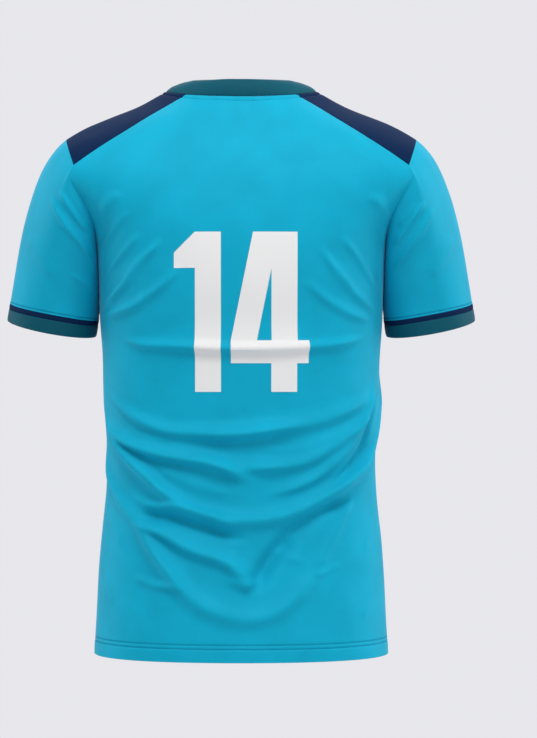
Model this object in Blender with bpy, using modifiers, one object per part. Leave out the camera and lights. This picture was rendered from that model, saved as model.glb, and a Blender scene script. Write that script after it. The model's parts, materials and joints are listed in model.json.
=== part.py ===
"""A short-sleeved crew-neck sports jersey, filled out as if worn, with nobody inside.

Frame: +X is the wearer's right, +Y the wearer's front, +Z up. The origin lies between the two inner
ends of the shoulders, where the wearer's shoulders hold the garment up. Sizes are in metres.

The torso is one form with level sections. A place on it is an angle round the body, from the centre
back (0) through the wearer's right side (a quarter turn) to the centre front (half a turn), and a
height. Every seam is a curve of such places, so panels that share a seam share its points. The
sleeves run from the armhole's points to the cuff, and the collar stands on the neck seam's points.
"""

import math
from collections import namedtuple

import bmesh
import bpy
import numpy as np

MM = 0.001
QUARTER = math.pi / 2
HALF_TURN = math.pi
MIRROR = np.array([-1.0, 1.0, 1.0])

# Cloth
WALL = 1.5 * MM
SEAM_GAP = 0.3 * MM
COLLAR_SEAM_GAP = 1.2 * MM  # wider, as the collar leans in over the seam
YOKE_SEAM_GAP = 0.9 * MM  # wider, as the shoulder panels bend over their seams
SLEEVE_SEAM_GAP = 1.6 * MM  # wider, as the sleeves bend away from the armholes

# Torso: the heights of its landmarks, below the inner ends of the shoulders
HEM = -0.6915
HEM_SAG = 1.5 * MM  # how much lower the hem hangs at the centre back and front
ARMPIT = -0.205
SHOULDER_END = -0.0593

# Neck seam
NECK_HALF_WIDTH = 0.0925
NECK_DROP_BACK = 0.0127
NECK_DROP_FRONT = 0.085
NECK_ROUNDNESS = 1.4

# Shoulder panels: their outer tips, as a distance from the centre line and a height, and where
# their seams meet the neck seam, in degrees round the neck from the centre back
YOKE_TIP = (0.2015, -0.0970)
YOKE_NECK_BACK = 46.0
YOKE_NECK_FRONT = 122.0
YOKE_BOW = 2 * MM  # how far their seams arch above a straight run

# Sections of the torso form, from the hem up. Above the armpits half_width runs out over the arms,
# where the armholes cut it off; at the top it is the shoulder line. squareness is how far a section
# fills out towards a rounded rectangle, or below 0 draws in at its corners.
Section = namedtuple("Section", "height half_width back_depth front_depth squareness")
TORSO_SECTIONS = (
    Section(-0.700, 0.1818, 0.1215, 0.1330, 0.030),
    Section(-0.640, 0.1782, 0.1150, 0.1300, 0.030),
    Section(-0.585, 0.1755, 0.1065, 0.1275, 0.030),
    Section(-0.540, 0.1715, 0.1015, 0.1255, 0.030),
    Section(-0.490, 0.1665, 0.0990, 0.1240, 0.030),
    Section(-0.430, 0.1660, 0.1000, 0.1235, 0.030),
    Section(-0.380, 0.1698, 0.1035, 0.1260, 0.030),
    Section(-0.330, 0.1708, 0.1090, 0.1310, 0.030),
    Section(-0.280, 0.1742, 0.1180, 0.1350, 0.032),
    Section(-0.240, 0.1758, 0.1265, 0.1370, 0.036),
    Section(-0.205, 0.1790, 0.1305, 0.1360, 0.045),
    Section(-0.170, 0.1870, 0.1310, 0.1310, 0.060),
    Section(-0.130, 0.2200, 0.1255, 0.1210, 0.075),
    Section(-0.100, 0.2500, 0.1175, 0.1090, 0.070),
    Section(-0.0593, 0.2153, 0.1010, 0.0900, 0.030),
    Section(-0.0423, 0.1852, 0.0940, 0.0810, -0.005),
    Section(-0.0204, 0.1308, 0.0840, 0.0690, -0.035),
    Section(-0.0049, 0.1016, 0.0750, 0.0580, -0.050),
    Section(0.0040, 0.0850, 0.0690, 0.0500, -0.055),
)

# Sleeves. The cuff's lower edge is a ring that swings out and forward from hanging straight down.
CUFF_CENTRE = (0.2358, 0.030, -0.2908)
CUFF_HALF_WIDTH = 0.0561
CUFF_HALF_DEPTH = 0.0590
SLEEVE_OUT = math.radians(10.5)
SLEEVE_FORWARD = math.radians(8.0)
CUFF_BAND = 16.3 * MM  # height of the lower band of the cuff
CUFF_STRIPE = 6.6 * MM  # height of the stripe above it
# The way the cloth leaves the armhole: degrees down from level, over the arm, beside it and under it
SLEEVE_FALL = (33.0, 62.0, 88.0)
# How strongly a sleeve keeps its direction at the armhole and at the cuff, as a share of its length
SLEEVE_PULL = (0.75, 1.05)

# Collar: a band that leans in from the neck seam, by degrees from upright at the back, side and front
COLLAR_HEIGHT = 22.5 * MM
COLLAR_LEAN = (16.0, 66.0, 42.0)
COLLAR_BULGE = 2.2 * MM  # how far it bows out between its edges

# Cells of the panels' grids along each stretch of seam
YOKE_SEAM_CELLS = 9
NECK_BACK_CELLS = 10
NECK_FRONT_CELLS = 8
YOKE_NECK_CELLS = 14  # and along the shoulder panel's outer edge
ARMHOLE_CELLS = 11
SIDE_CELLS = 38
SLEEVE_CELLS = 10
COLLAR_CELLS = 3

# Folds of the torso. Each crest runs through these places: degrees from the centre line of its side,
# positive to the wearer's right, and heights. above and below are how far it reaches on its upper and
# lower side at its middle, less towards its ends. A trough has a rise below 0.
Fold = namedtuple("Fold", "side angles heights above below rise")
FOLDS = (
    # across the small of the back, and the swags above the hips
    Fold("back", (-50, -1, 49), (-0.306, -0.312, -0.305), 0.018, 0.014, 3.5 * MM),
    Fold("back", (-62, -35, -5, 25, 53), (-0.377, -0.411, -0.417, -0.410, -0.381), 0.015, 0.011, 7.0 * MM),
    Fold("back", (-58, -28, 4, 36, 60), (-0.409, -0.447, -0.468, -0.448, -0.385), 0.013, 0.010, 7.5 * MM),
    Fold("back", (-64, -34, 0, 35, 65), (-0.427, -0.486, -0.524, -0.493, -0.433), 0.013, 0.011, 9.0 * MM),
    Fold("back", (66, 61, 53, 43, 34), (-0.377, -0.407, -0.434, -0.455, -0.474), 0.013, 0.012, -4.5 * MM),
    # the deep ones below them
    Fold("back", (-40, -30, -20, -9, 0), (-0.512, -0.516, -0.524, -0.536, -0.548), 0.013, 0.012, -3.5 * MM),
    Fold("back", (-53, -41, -28, -14, 0), (-0.489, -0.518, -0.543, -0.558, -0.582), 0.013, 0.012, 4.0 * MM),
    Fold("back", (2, 8, 18, 36), (-0.588, -0.558, -0.524, -0.493), 0.010, 0.010, 4.0 * MM),
    Fold("back", (-14, -1, 12), (-0.588, -0.604, -0.586), 0.022, 0.009, -5.0 * MM),
    Fold("back", (-49, -27, 1, 26, 48), (-0.507, -0.586, -0.642, -0.582, -0.504), 0.018, 0.012, 8.0 * MM),
    # the pulls from the armpits
    Fold("back", (-33, -48, -66), (-0.199, -0.238, -0.264), 0.009, 0.008, 3.5 * MM),
    Fold("back", (-23, -39, -57), (-0.223, -0.258, -0.281), 0.009, 0.008, 3.5 * MM),
    Fold("back", (32, 46, 64), (-0.209, -0.248, -0.273), 0.009, 0.008, 3.5 * MM),
    Fold("back", (27, 39, 52), (-0.248, -0.270, -0.285), 0.009, 0.008, 3.0 * MM),
    # the front
    Fold("front", (-52, -24, 3, 28, 54), (-0.312, -0.318, -0.322, -0.317, -0.309), 0.018, 0.014, 3.5 * MM),
    Fold("front", (-64, -33, 2, 34, 66), (-0.372, -0.410, -0.424, -0.414, -0.384), 0.015, 0.012, 6.0 * MM),
    Fold("front", (-66, -36, -3, 30, 62), (-0.400, -0.456, -0.482, -0.466, -0.412), 0.013, 0.011, 6.5 * MM),
    Fold("front", (-60, -32, 4, 38, 66), (-0.450, -0.510, -0.546, -0.516, -0.448), 0.014, 0.011, 7.0 * MM),
    Fold("front", (-6, 12, 28, 44), (-0.586, -0.572, -0.548, -0.520), 0.011, 0.010, 4.0 * MM),
    Fold("front", (-52, -30, -3, 24, 50), (-0.530, -0.598, -0.646, -0.604, -0.536), 0.018, 0.013, 7.0 * MM),
    Fold("front", (-34, -48, -64), (-0.196, -0.226, -0.250), 0.009, 0.008, 3.0 * MM),
    Fold("front", (-25, -40, -58), (-0.230, -0.258, -0.280), 0.009, 0.008, 3.0 * MM),
    Fold("front", (31, 46, 62), (-0.204, -0.236, -0.262), 0.009, 0.008, 3.0 * MM),
    Fold("front", (24, 40, 56), (-0.238, -0.264, -0.284), 0.009, 0.008, 2.5 * MM),
)
FOLD_RADIUS = 0.165  # turns a fold's angles into distances
PINCH = 0.6  # how much narrower a fold is at its ends than at its middle, as a share

# Folds of the sleeves, with distances from the centre line in place of angles. The same on both sleeves.
SLEEVE_FOLDS = (
    Fold("back", (0.232, 0.212, 0.184), (-0.128, -0.170, -0.212), 0.008, 0.008, 3.0 * MM),
    Fold("back", (0.222, 0.203, 0.186), (-0.126, -0.158, -0.186), 0.006, 0.006, -2.5 * MM),
    Fold("back", (0.212, 0.200, 0.190), (-0.128, -0.150, -0.168), 0.006, 0.006, 2.5 * MM),
    Fold("back", (0.256, 0.236, 0.204), (-0.160, -0.200, -0.238), 0.009, 0.009, 2.5 * MM),
    Fold("front", (0.236, 0.214, 0.190), (-0.124, -0.168, -0.208), 0.008, 0.008, 3.0 * MM),
    Fold("front", (0.220, 0.206, 0.192), (-0.126, -0.154, -0.182), 0.006, 0.006, -2.5 * MM),
    Fold("front", (0.262, 0.240, 0.208), (-0.168, -0.208, -0.244), 0.009, 0.009, 2.5 * MM),
)

COLLECTION = "badminton jersey"
COLOURS = {
    "cyan cloth": (0.010, 0.350, 0.510, 1.0),
    "navy cloth": (0.010, 0.030, 0.090, 1.0),
    "teal cloth": (0.010, 0.100, 0.150, 1.0),
}


def unit(vectors):
    return vectors / np.linalg.norm(vectors, axis=-1, keepdims=True)


# ---------------------------------------------------------------- the torso form


def natural_spline(knots, values):
    """The smooth curve through these values, as a function of a number or an array."""
    knots = np.array(knots, float)
    values = np.array(values, float)
    spans = np.diff(knots)
    slopes = np.diff(values) / spans
    matrix = np.eye(len(knots))
    right = np.zeros(len(knots))
    for i in range(1, len(knots) - 1):
        matrix[i, i - 1] = spans[i - 1]
        matrix[i, i] = 2 * (spans[i - 1] + spans[i])
        matrix[i, i + 1] = spans[i]
        right[i] = 6 * (slopes[i] - slopes[i - 1])
    bends = np.linalg.solve(matrix, right)

    def curve(x):
        x = np.clip(x, knots[0], knots[-1])
        i = np.clip(np.searchsorted(knots, x) - 1, 0, len(spans) - 1)
        span = spans[i]
        before = x - knots[i]
        after = knots[i + 1] - x
        bent = (bends[i] * after**3 + bends[i + 1] * before**3) / (6 * span)
        low = (values[i] / span - bends[i] * span / 6) * after
        high = (values[i + 1] / span - bends[i + 1] * span / 6) * before
        return bent + low + high

    return curve


def section_curve(column):
    rows = [row._asdict() for row in TORSO_SECTIONS]
    return natural_spline([row["height"] for row in rows], [row[column] for row in rows])


HALF_WIDTH = section_curve("half_width")
BACK_DEPTH = section_curve("back_depth")
FRONT_DEPTH = section_curve("front_depth")
SQUARENESS = section_curve("squareness")


def torso_form(angle, height):
    """Points of the smooth torso at these angles and heights."""
    square = SQUARENESS(height)
    across = (np.sin(angle) + square * np.sin(3 * angle)) / (1 - square)
    back = (np.cos(angle) - square * np.cos(3 * angle)) / (1 - square)
    depth = np.where(back > 0, BACK_DEPTH(height), FRONT_DEPTH(height))
    return np.stack([HALF_WIDTH(height) * across, -depth * back, height + 0 * angle], axis=-1)


def squared_root(share, square):
    """The sine or cosine whose place on a section with this squareness is at this share of its reach."""
    share = np.clip(share, 0, 1) * (1 - square)
    root = share
    for _ in range(12):
        miss = root * (1 + 3 * square) - 4 * square * root**3 - share
        root = root - miss / (1 + 3 * square - 12 * square * root**2)
    return np.clip(root, 0, 1)


def place_at(out, height, front):
    """The place on the wearer's right at this distance from the centre line and this height."""
    height = np.asarray(height, float)
    angle = np.arcsin(squared_root(out / HALF_WIDTH(height), SQUARENESS(height)))
    return np.stack([HALF_TURN - angle if front else angle, height], axis=-1)


def stroke_lift(across, up, folds, unit_across):
    """How far these folds lift points at these flat positions."""
    lift = np.zeros(np.shape(across))
    t = np.linspace(0, 1, 61)
    for fold in folds:
        knots = np.linspace(0, 1, len(fold.angles))
        line_across = natural_spline(knots, fold.angles)(t) * unit_across
        line = np.stack([line_across, natural_spline(knots, fold.heights)(t)], axis=-1)
        reach = 2.3 * max(fold.above, fold.below)
        low = line.min(axis=0) - reach
        high = line.max(axis=0) + reach
        near = (across > low[0]) & (across < high[0]) & (up > low[1]) & (up < high[1])
        if not near.any():
            continue
        first = line[:-1]
        step = line[1:] - line[:-1]
        a = across[near][:, None] - first[:, 0]
        u = up[near][:, None] - first[:, 1]
        share = np.clip((a * step[:, 0] + u * step[:, 1]) / (step**2).sum(axis=1), 0, 1)
        a = a - share * step[:, 0]
        u = u - share * step[:, 1]
        apart = np.hypot(a, u)
        nearest = np.argmin(apart, axis=1)
        row = np.arange(len(nearest))
        along = np.abs(2 * (nearest + share[row, nearest]) / len(first) - 1)
        width = np.where(u[row, nearest] > 0, fold.above, fold.below) * (1 - PINCH * along**2)
        fade = np.clip((1 - along) / 0.35, 0, 1)
        fade = fade * fade * (3 - 2 * fade)
        lift[near] += fold.rise * np.exp(-((apart[row, nearest] / width) ** 2)) * fade
    return lift


def from_centre(angle, side):
    """Angles from the centre line of the back or the front, positive to the wearer's right."""
    turned = angle if side == "back" else HALF_TURN - angle
    return (turned + HALF_TURN) % (2 * HALF_TURN) - HALF_TURN


def torso_lift(angle, height):
    angle = angle + 0 * height
    height = height + 0 * angle
    lift = 0 * angle
    for side in ("back", "front"):
        folds = [fold for fold in FOLDS if fold.side == side]
        across = FOLD_RADIUS * from_centre(angle, side)
        lift = lift + stroke_lift(across, height, folds, math.radians(FOLD_RADIUS))
    return lift


def torso_normal(angle, height, step=1e-4):
    round_it = torso_form(angle + step, height) - torso_form(angle - step, height)
    up = torso_form(angle, height + step) - torso_form(angle, height - step)
    return unit(np.cross(round_it, up))


def torso_points(places):
    """Points of the worn cloth at these places."""
    angle = places[..., 0]
    height = places[..., 1]
    lift = torso_lift(angle, height)
    return torso_form(angle, height) + torso_normal(angle, height) * lift[..., None]


# ---------------------------------------------------------------- seams, on the wearer's right


def neck_seam(degrees):
    """Places on the neck seam, by degrees round the neck from the centre back."""
    turn = np.radians(degrees)
    drop = np.where(np.cos(turn) > 0, NECK_DROP_BACK, NECK_DROP_FRONT)
    height = -drop * np.abs(np.cos(turn)) ** NECK_ROUNDNESS
    out = NECK_HALF_WIDTH * np.sin(turn)
    back = place_at(out, height, front=False)
    front = place_at(out, height, front=True)
    return np.where((np.cos(turn) > 0)[..., None], back, front)


def yoke_seam(front, cells=YOKE_SEAM_CELLS):
    """The seam between a shoulder panel and the back or front, from its tip to the neck."""
    t = np.linspace(0, 1, cells + 1)
    degrees = np.array([YOKE_NECK_FRONT if front else YOKE_NECK_BACK])
    neck = neck_seam(degrees)[0]
    neck_out = NECK_HALF_WIDTH * math.sin(math.radians(degrees[0]))
    out = YOKE_TIP[0] + (neck_out - YOKE_TIP[0]) * t
    height = YOKE_TIP[1] + (neck[1] - YOKE_TIP[1]) * t + YOKE_BOW * 4 * t * (1 - t)
    return place_at(out, height, front)


def armhole_seam(front, cells=ARMHOLE_CELLS):
    """The armhole's edge on the back or front, from under the arm to the shoulder panel's tip."""
    t = np.linspace(0, 1, cells + 1)
    tip = place_at(*YOKE_TIP, front)
    angle = QUARTER + (tip[0] - QUARTER) * t
    height = tip[1] + (ARMPIT - tip[1]) * np.cos(QUARTER * t)
    return np.stack([angle, height], axis=-1)


def yoke_outer_edge(cells=YOKE_NECK_CELLS):
    """The armhole's edge on the shoulder panel, over the arm from its back tip to its front tip."""
    top = np.array([HALF_WIDTH(SHOULDER_END), SHOULDER_END])
    half = np.linspace(0, 1, cells // 2 + 1)[:, None] ** 2
    out, height = (top + (np.array(YOKE_TIP) - top) * half).T
    back = place_at(out, height, front=False)
    return np.concatenate([back[::-1], place_at(out, height, front=True)[1:]])


def mirrored(places, front):
    """The same places on the wearer's left."""
    made = places.copy()
    made[..., 0] = (2 * HALF_TURN if front else 0) - made[..., 0]
    return made


# ---------------------------------------------------------------- places on the panels


def patch(bottom, top, left, right):
    """A grid of places inside four edges, rows from the bottom to the top."""
    u = np.linspace(0, 1, len(bottom))[None, :, None]
    v = np.linspace(0, 1, len(left))[:, None, None]
    across = (1 - v) * bottom[None] + v * top[None]
    along = (1 - u) * left[:, None] + u * right[:, None]
    low = (1 - u) * bottom[0] + u * bottom[-1]
    high = (1 - u) * top[0] + u * top[-1]
    return across + along - (1 - v) * low - v * high


def flattened(places, centre):
    """Places as distances round the body from the centre line, and heights."""
    round_it = (places[..., 0] - centre) * HALF_WIDTH(places[..., 1])
    return np.stack([round_it, places[..., 1]], axis=-1)


def unflattened(flat, centre):
    return np.stack([centre + flat[..., 0] / HALF_WIDTH(flat[..., 1]), flat[..., 1]], axis=-1)


def joined(*edges):
    """Edges end to end, with the place that two of them share kept once."""
    return np.concatenate([edges[0]] + [edge[1:] for edge in edges[1:]])


def body_panel_places(front):
    """Places on the back, from the wearer's left to right, or on the front, from right to left."""
    seam = yoke_seam(front)
    if front:
        neck = neck_seam(np.linspace(YOKE_NECK_FRONT, 180, NECK_FRONT_CELLS // 2 + 1))
    else:
        neck = neck_seam(np.linspace(0, YOKE_NECK_BACK, NECK_BACK_CELLS // 2 + 1))
    armhole = armhole_seam(front)
    if front:
        top = joined(seam, neck, mirrored(neck, True)[::-1], mirrored(seam, True)[::-1])
        left, right = armhole, mirrored(armhole, True)
    else:
        top = joined(mirrored(seam, False), mirrored(neck, False)[::-1], neck, seam[::-1])
        left, right = mirrored(armhole, False), armhole
    angles = np.linspace(left[0, 0], right[0, 0], len(top))
    armpits = np.stack([angles, np.full(len(angles), ARMPIT)], axis=-1)
    centre = HALF_TURN if front else 0.0
    edges = [flattened(edge, centre) for edge in (armpits, top, left, right)]
    upper = unflattened(patch(*edges), centre)
    hem = HEM - HEM_SAG * np.cos(angles) ** 2
    share = np.linspace(0, 1, SIDE_CELLS + 1)[:, None]
    heights = hem + (ARMPIT - hem) * share
    lower = np.stack([angles + 0 * heights, heights], axis=-1)
    return np.concatenate([lower, upper[1:]])


def yoke_places():
    """Places on the right shoulder panel: rows from the arm to the neck, columns back to front."""
    outer = yoke_outer_edge()
    neck = neck_seam(np.linspace(YOKE_NECK_BACK, YOKE_NECK_FRONT, YOKE_NECK_CELLS + 1))
    return patch(outer, neck, yoke_seam(front=False), yoke_seam(front=True))


def seen_on_right(places, side):
    """Points at these places, or at their mirror places on the left, mirrored back to the right."""
    if side == "right":
        return torso_points(places)
    return torso_points(mirrored(places, False)) * MIRROR


# ---------------------------------------------------------------- sleeve, cuff and collar


def armhole_ring():
    """Places round the right armhole: over the arm to the back, down the back, up the front."""
    over = yoke_outer_edge()[::-1]
    back = armhole_seam(front=False)[::-1]
    front = armhole_seam(front=True)
    return joined(over, back, front)


def share_of_length(points):
    steps = np.linalg.norm(np.diff(points, axis=0), axis=-1)
    lengths = np.concatenate([[0], np.cumsum(steps)])
    return lengths / lengths[-1]


def cuff_turns(ring):
    """For each point of the armhole, the angle round the cuff: 0 outside, half a turn inside."""
    top = YOKE_NECK_CELLS // 2
    under = YOKE_NECK_CELLS + ARMHOLE_CELLS
    back = share_of_length(ring[top : under + 1]) * HALF_TURN
    front = share_of_length(np.concatenate([ring[under:], ring[1 : top + 1]])) * HALF_TURN
    front = HALF_TURN + front
    turns = np.concatenate([front[-top - 1 : -1] - 2 * HALF_TURN, back, front[1 : len(front) - top]])
    return turns


def cuff_ring(turns):
    """Points of the right cuff's lower edge, and the way the cloth comes down to it."""
    outward = np.array([math.cos(SLEEVE_OUT), 0, math.sin(SLEEVE_OUT)])
    backward = -np.array([0, math.cos(SLEEVE_FORWARD), math.sin(SLEEVE_FORWARD)])
    down = unit(np.cross(outward, backward))
    cosine = np.cos(turns)[:, None]
    sine = np.sin(turns)[:, None]
    ring = np.array(CUFF_CENTRE) + CUFF_HALF_WIDTH * cosine * outward
    ring = ring + CUFF_HALF_DEPTH * sine * backward
    return ring, down if down[2] < 0 else -down


def sleeve_lines(side, samples=80):
    """Lines down a sleeve, one from each point of the armhole, all as if on the wearer's right."""
    start = seen_on_right(armhole_ring(), side)
    turns = cuff_turns(start)
    end, down = cuff_ring(turns)
    over, beside, under = (math.radians(fall) for fall in SLEEVE_FALL)
    outside = np.cos(turns)
    fall = beside + np.where(outside > 0, (over - beside), (beside - under)) * outside
    leave = np.stack([np.cos(fall), 0 * fall, -np.sin(fall)], axis=-1)
    reach = np.linalg.norm(end - start, axis=-1, keepdims=True)
    leave = (leave * reach * SLEEVE_PULL[0])[:, None]
    arrive = (down * reach * SLEEVE_PULL[1])[:, None]
    t = np.linspace(0, 1, samples)[None, :, None]
    lines = (2 * t**3 - 3 * t**2 + 1) * start[:, None] + (t**3 - 2 * t**2 + t) * leave
    return lines + (3 * t**2 - 2 * t**3) * end[:, None] + (t**3 - t**2) * arrive


def points_down(lines, from_share, to_share, cells, above_end=(0.0, 0.0)):
    """Rows of points on the lines, between two shares of their length less a distance above the end."""
    rows = []
    for line in lines:
        steps = np.linalg.norm(np.diff(line, axis=0), axis=-1)
        lengths = np.concatenate([[0], np.cumsum(steps)])
        first = from_share * lengths[-1] - above_end[0]
        last = to_share * lengths[-1] - above_end[1]
        wanted = np.linspace(max(first, 0), last, cells + 1)
        rows.append(np.stack([np.interp(wanted, lengths, line[:, i]) for i in range(3)], axis=-1))
    return np.array(rows).transpose(1, 0, 2)


def ring_normals(rows):
    """Outward directions on a tube of points, whose last column repeats its first."""
    down = np.gradient(rows, axis=0)
    around = np.roll(rows[:, :-1], -1, axis=1) - np.roll(rows[:, :-1], 1, axis=1)
    around = np.concatenate([around, around[:, :1]], axis=1)
    return unit(np.cross(around, down))


def sleeve_grid(rows):
    """The rows of a sleeve with its folds, which fade at the armhole and the cuff."""
    normals = ring_normals(rows)
    lift = np.zeros(rows.shape[:2])
    for side, sign in (("back", -1), ("front", 1)):
        folds = [fold for fold in SLEEVE_FOLDS if fold.side == side]
        facing = np.clip(sign * normals[..., 1] * 2, 0, 1)
        lift += facing * stroke_lift(rows[..., 0], rows[..., 2], folds, 1.0)
    down = np.linspace(0, 1, len(rows))[:, None]
    lift *= np.clip(8 * down, 0, 1) * np.clip(8 * (1 - down), 0, 1)
    return rows + normals * lift[..., None]


def collar_rows():
    """Rows of the collar, from the neck seam up, going round by the wearer's right."""
    right = joined(
        neck_seam(np.linspace(0, YOKE_NECK_BACK, NECK_BACK_CELLS // 2 + 1)),
        neck_seam(np.linspace(YOKE_NECK_BACK, YOKE_NECK_FRONT, YOKE_NECK_CELLS + 1)),
        neck_seam(np.linspace(YOKE_NECK_FRONT, 180, NECK_FRONT_CELLS // 2 + 1)),
    )
    seam = torso_points(joined(right, mirrored(right, True)[::-1]))
    around = np.roll(seam[:-1], -1, axis=0) - np.roll(seam[:-1], 1, axis=0)
    around = np.concatenate([around, around[:1]])
    around[:, 2] = 0
    inward = unit(np.cross(np.array([0, 0, 1.0]), around))
    facing = inward[:, 1]
    back, side, front = (math.radians(lean) for lean in COLLAR_LEAN)
    lean = side + np.where(facing > 0, back - side, front - side) * facing**2
    rise = np.array([0, 0, 1.0]) * np.cos(lean)[:, None] + inward * np.sin(lean)[:, None]
    outward = np.array([0, 0, 1.0]) * np.sin(lean)[:, None] - inward * np.cos(lean)[:, None]
    share = np.linspace(0, 1, COLLAR_CELLS + 1)[:, None, None]
    bulge = COLLAR_BULGE * 4 * share * (1 - share)
    return seam + rise * COLLAR_HEIGHT * share + outward * bulge


# ---------------------------------------------------------------- making the panels


def drawn_back(rows, closed, bottom_gap, side_gap):
    """The grid with its edges drawn back from their seams by half the gap."""
    made = rows.copy()
    made[0] += bottom_gap / 2 * unit(rows[1] - rows[0])
    made[-1] += SEAM_GAP / 2 * unit(rows[-2] - rows[-1])
    if not closed:
        made[:, 0] += side_gap / 2 * unit(rows[:, 1] - rows[:, 0])
        made[:, -1] += side_gap / 2 * unit(rows[:, -2] - rows[:, -1])
    return made


def make_material(name):
    material = bpy.data.materials.new(name)
    material.use_nodes = True
    shader = material.node_tree.nodes["Principled BSDF"]
    shader.inputs["Base Color"].default_value = COLOURS[name]
    shader.inputs["Roughness"].default_value = 0.8
    return material


def make_panel(name, rows, look, closed=False, bottom_gap=SEAM_GAP, side_gap=SEAM_GAP):
    """A cloth panel from rows of points that face outward. A closed one joins its last column up."""
    rows = drawn_back(rows, closed, bottom_gap, side_gap)
    up_cells = len(rows) - 1
    across_cells = rows.shape[1] - 1
    bm = bmesh.new()
    bmesh.ops.create_grid(bm, x_segments=across_cells, y_segments=up_cells, size=1.0)
    for vert in bm.verts:
        column = round((vert.co.x + 1) / 2 * across_cells)
        row = round((vert.co.y + 1) / 2 * up_cells)
        vert.co = rows[row, column]
    if closed:
        bmesh.ops.remove_doubles(bm, verts=bm.verts, dist=1e-5)
    for face in bm.faces:
        face.smooth = True
    mesh = bpy.data.meshes.new(name)
    bm.to_mesh(mesh)
    bm.free()
    mesh.materials.append(bpy.data.materials[look])
    panel = bpy.data.objects.new(name, mesh)
    bpy.data.collections[COLLECTION].objects.link(panel)
    solidify = panel.modifiers.new("wall", "SOLIDIFY")
    solidify.thickness = WALL
    solidify.offset = -1.0
    solidify.use_even_offset = True
    return panel


def on_side(rows, side):
    """A panel made as if on the wearer's right, put on its own side, still facing outward."""
    return rows if side == "right" else rows[:, ::-1] * MIRROR


def make_jersey():
    for old in list(bpy.data.objects):
        bpy.data.objects.remove(old, do_unlink=True)
    collection = bpy.data.collections.new(COLLECTION)
    bpy.context.scene.collection.children.link(collection)
    for look in COLOURS:
        make_material(look)

    make_panel("back_panel", torso_points(body_panel_places(front=False)), "cyan cloth")
    make_panel("front_panel", torso_points(body_panel_places(front=True)), "cyan cloth")
    make_panel("collar", collar_rows(), "teal cloth", True, COLLAR_SEAM_GAP)
    cuff = CUFF_BAND + CUFF_STRIPE
    for side in ("right", "left"):
        yoke = on_side(seen_on_right(yoke_places(), side), side)
        lines = sleeve_lines(side)
        sleeve = on_side(sleeve_grid(points_down(lines, 0, 1, SLEEVE_CELLS, (0, cuff))), side)
        stripe = on_side(points_down(lines, 1, 1, 1, (cuff, CUFF_BAND)), side)
        band = on_side(points_down(lines, 1, 1, 2, (CUFF_BAND, 0)), side)
        make_panel(f"shoulder_panel_{side}", yoke, "navy cloth", False, YOKE_SEAM_GAP, YOKE_SEAM_GAP)
        make_panel(f"sleeve_{side}", sleeve, "cyan cloth", True, SLEEVE_SEAM_GAP)
        make_panel(f"cuff_stripe_{side}", stripe, "navy cloth", True)
        make_panel(f"cuff_band_{side}", band, "teal cloth", True)


make_jersey()
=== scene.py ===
"""The looks of the sports jersey: cloth shells over the fixed frame, the print, stitches, light and camera.

Places on the torso are an angle round the body from the centre back, towards the wearer's right, and
a height. Each shell follows its solid's form, with more folds, grooves at its stitches and raised
edges. Sizes are in metres unless they say millimetres; +X is the wearer's right, +Y the wearer's
front, +Z up.
"""

import json
import math
from collections import namedtuple

import bmesh
import bpy
import numpy as np
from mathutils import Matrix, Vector, noise

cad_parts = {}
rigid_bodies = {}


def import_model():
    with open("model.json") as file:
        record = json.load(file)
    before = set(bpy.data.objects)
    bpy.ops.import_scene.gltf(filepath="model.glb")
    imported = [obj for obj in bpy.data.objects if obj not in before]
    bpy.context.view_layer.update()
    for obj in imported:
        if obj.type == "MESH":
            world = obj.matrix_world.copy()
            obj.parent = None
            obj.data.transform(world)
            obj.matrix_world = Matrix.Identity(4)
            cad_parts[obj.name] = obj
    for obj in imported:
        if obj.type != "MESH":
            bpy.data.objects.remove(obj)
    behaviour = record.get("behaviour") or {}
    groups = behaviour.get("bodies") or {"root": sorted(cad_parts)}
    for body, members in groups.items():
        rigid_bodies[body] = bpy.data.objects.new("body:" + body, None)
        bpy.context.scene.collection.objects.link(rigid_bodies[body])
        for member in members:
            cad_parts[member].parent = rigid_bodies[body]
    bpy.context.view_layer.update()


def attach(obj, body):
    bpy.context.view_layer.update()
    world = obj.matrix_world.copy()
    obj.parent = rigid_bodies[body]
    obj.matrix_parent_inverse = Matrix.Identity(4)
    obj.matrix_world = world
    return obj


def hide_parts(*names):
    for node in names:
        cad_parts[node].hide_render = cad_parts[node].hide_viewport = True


MM = 0.001
QUARTER = math.pi / 2
HALF_TURN = math.pi
MIRROR = np.array([-1.0, 1.0, 1.0])
UP = np.array([0.0, 0.0, 1.0])

# Cloth
WALL = 1.5 * MM
SEAM_GAP = 0.04 * MM
EDGE_PUFF = 0.45 * MM  # how far narrow edges stand out between their seam and stitches
BAND_PUFF = 0.5 * MM  # how far the collar, the cuff bands and the hem do

# Torso: the heights of its landmarks, below the inner ends of the shoulders
HEM = -0.6915
HEM_SAG = 1.5 * MM  # how much lower the hem hangs at the centre back and front
ARMPIT = -0.205
SHOULDER_END = -0.0593

# Neck seam and shoulder panels: the panels' outer tips, as a distance from the centre line and a height,
# and where their seams meet the neck seam, in degrees round the neck from the centre back
NECK_HALF_WIDTH = 0.0925
NECK_DROP_BACK = 0.0127
NECK_DROP_FRONT = 0.085
NECK_ROUNDNESS = 1.4
YOKE_TIP = (0.2015, -0.0970)
YOKE_NECK_BACK = 46.0
YOKE_NECK_FRONT = 122.0
YOKE_BOW = 2 * MM  # how far their seams arch above a straight run

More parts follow.
